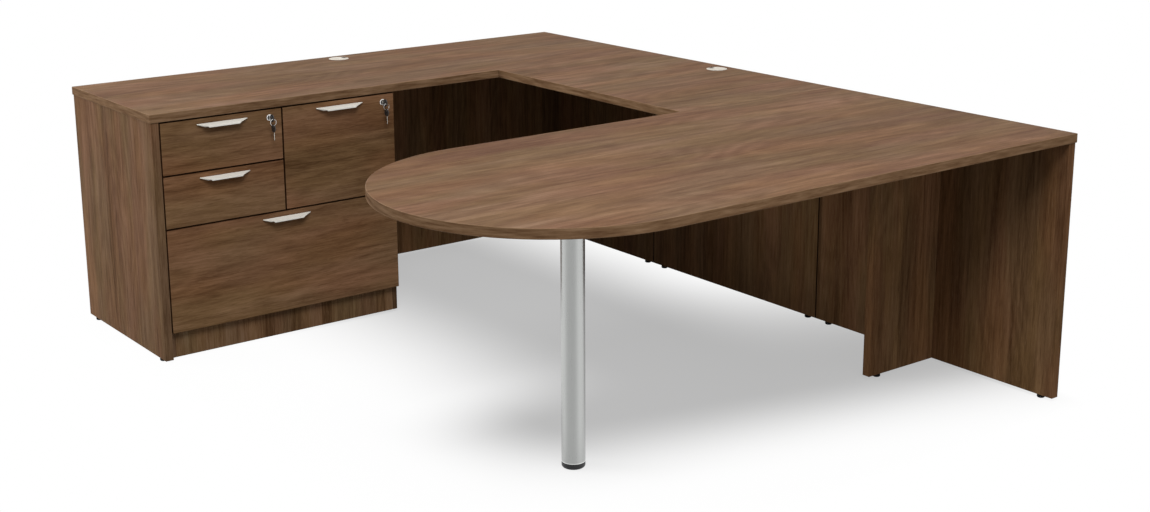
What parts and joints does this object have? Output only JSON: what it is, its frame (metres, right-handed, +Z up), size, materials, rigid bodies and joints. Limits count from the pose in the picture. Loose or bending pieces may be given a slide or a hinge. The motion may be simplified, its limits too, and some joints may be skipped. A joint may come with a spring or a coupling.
{
  "type": "u-shaped desk",
  "caption": "U-shaped office desk: a credenza with a lockable drawer pedestal, a bridge and a round-ended peninsula on a post leg.",
  "frame": {"origin": "on the floor under the middle of the overall box", "axes": "+Z up, +X towards the side that the bridge closes, +Y towards the credenza, so the sitter comes in from -X"},
  "size_m": [1.842, 2.365, 0.7521],
  "materials": {
    "worktop_laminate": "satin walnut laminate on board",
    "panel_laminate": "satin walnut laminate on board",
    "front_laminate": "satin dark walnut laminate on board",
    "carcass_board": "matt walnut laminate on board",
    "drawer_board": "matt wrapped board",
    "zinc_steel": "zinc plated",
    "satin_silver": "satin silver powder coat",
    "chrome": "polished",
    "grommet_silver": "satin",
    "black_plastic": "fine matt"
  },
  "bodies": {
    "desk": {"credenza_top": "worktop_laminate", "bridge_top": "worktop_laminate", "peninsula_top": "worktop_laminate", "credenza_left_gable": "panel_laminate", "credenza_right_gable": "panel_laminate", "credenza_back_panel": "panel_laminate", "bridge_back_panel": "panel_laminate", "peninsula_gable": "panel_laminate", "peninsula_tee_panel": "panel_laminate", "pedestal_plinth": "panel_laminate", "pedestal_left_side": "carcass_board", "pedestal_right_side": "carcass_board", "pedestal_bottom": "carcass_board", "pedestal_shelf": "carcass_board", "pedestal_partition": "carcass_board", "pedestal_top_panel": "carcass_board", "upper_box_drawer_left_cabinet_runner": "zinc_steel", "upper_box_drawer_right_cabinet_runner": "zinc_steel", "lower_box_drawer_left_cabinet_runner": "zinc_steel", "lower_box_drawer_right_cabinet_runner": "zinc_steel", "file_drawer_left_cabinet_runner": "zinc_steel", "file_drawer_right_cabinet_runner": "zinc_steel", "lateral_drawer_left_cabinet_runner": "zinc_steel", "lateral_drawer_right_cabinet_runner": "zinc_steel", "post_leg": "satin_silver", "leg_foot": "black_plastic", "credenza_grommet_liner": "grommet_silver", "bridge_grommet_liner": "grommet_silver"},
    "upper_box_drawer": {"upper_box_drawer_front": "front_laminate", "upper_box_drawer_box": "drawer_board", "upper_box_drawer_pull": "satin_silver", "upper_box_drawer_left_drawer_runner": "zinc_steel", "upper_box_drawer_right_drawer_runner": "zinc_steel", "upper_box_drawer_lock_barrel": "chrome"},
    "lower_box_drawer": {"lower_box_drawer_front": "front_laminate", "lower_box_drawer_box": "drawer_board", "lower_box_drawer_pull": "satin_silver", "lower_box_drawer_left_drawer_runner": "zinc_steel", "lower_box_drawer_right_drawer_runner": "zinc_steel"},
    "file_drawer": {"file_drawer_front": "front_laminate", "file_drawer_box": "drawer_board", "file_drawer_pull": "satin_silver", "file_drawer_left_drawer_runner": "zinc_steel", "file_drawer_right_drawer_runner": "zinc_steel", "file_drawer_lock_barrel": "chrome"},
    "lateral_drawer": {"lateral_drawer_front": "front_laminate", "lateral_drawer_box": "drawer_board", "lateral_drawer_pull": "satin_silver", "lateral_drawer_left_drawer_runner": "zinc_steel", "lateral_drawer_right_drawer_runner": "zinc_steel"},
    "upper_box_drawer_lock": {"upper_box_drawer_lock_core": "chrome", "upper_box_drawer_key": "black_plastic"},
    "file_drawer_lock": {"file_drawer_lock_core": "chrome", "file_drawer_key": "black_plastic"},
    "upper_box_drawer_keys": {"upper_box_drawer_key_ring": "chrome", "upper_box_drawer_spare_key": "black_plastic"},
    "file_drawer_keys": {"file_drawer_key_ring": "chrome", "file_drawer_spare_key": "black_plastic"},
    "credenza_cap": {"credenza_grommet_cap": "grommet_silver"},
    "bridge_cap": {"bridge_grommet_cap": "grommet_silver"}
  },
  "joints": [
    {"name": "upper_box_drawer_slide", "type": "slide", "parent": "desk", "child": "upper_box_drawer", "axis": [0, -1, 0], "range_m": [0, 0.36]},
    {"name": "lower_box_drawer_slide", "type": "slide", "parent": "desk", "child": "lower_box_drawer", "axis": [0, -1, 0], "range_m": [0, 0.36]},
    {"name": "file_drawer_slide", "type": "slide", "parent": "desk", "child": "file_drawer", "axis": [0, -1, 0], "range_m": [0, 0.36]},
    {"name": "lateral_drawer_slide", "type": "slide", "parent": "desk", "child": "lateral_drawer", "axis": [0, -1, 0], "range_m": [0, 0.36]},
    {"name": "upper_box_drawer_lock_turn", "type": "hinge", "parent": "upper_box_drawer", "child": "upper_box_drawer_lock", "pos_m": [-0.52995, 0.5995, 0.696], "axis": [0, 1, 0], "range_deg": [0, 90]},
    {"name": "file_drawer_lock_turn", "type": "hinge", "parent": "file_drawer", "child": "file_drawer_lock", "pos_m": [-0.1392, 0.5995, 0.696], "axis": [0, 1, 0], "range_deg": [0, 90]},
    {"name": "upper_box_drawer_keys_swing", "type": "hinge", "parent": "upper_box_drawer_lock", "child": "upper_box_drawer_keys", "pos_m": [-0.52995, 0.5758, 0.6939], "axis": [-1, 0, 0], "range_deg": [-15, 90]},
    {"name": "file_drawer_keys_swing", "type": "hinge", "parent": "file_drawer_lock", "child": "file_drawer_keys", "pos_m": [-0.1392, 0.5758, 0.6939], "axis": [-1, 0, 0], "range_deg": [-15, 90]},
    {"name": "credenza_cap_turn", "type": "hinge", "parent": "desk", "child": "credenza_cap", "pos_m": [0.0065, 1.1225, 0.7521], "axis": [0, 0, 1], "continuous": true},
    {"name": "bridge_cap_turn", "type": "hinge", "parent": "desk", "child": "bridge_cap", "pos_m": [0.861, 0.1625, 0.7521], "axis": [0, 0, 1], "continuous": true}
  ]
}
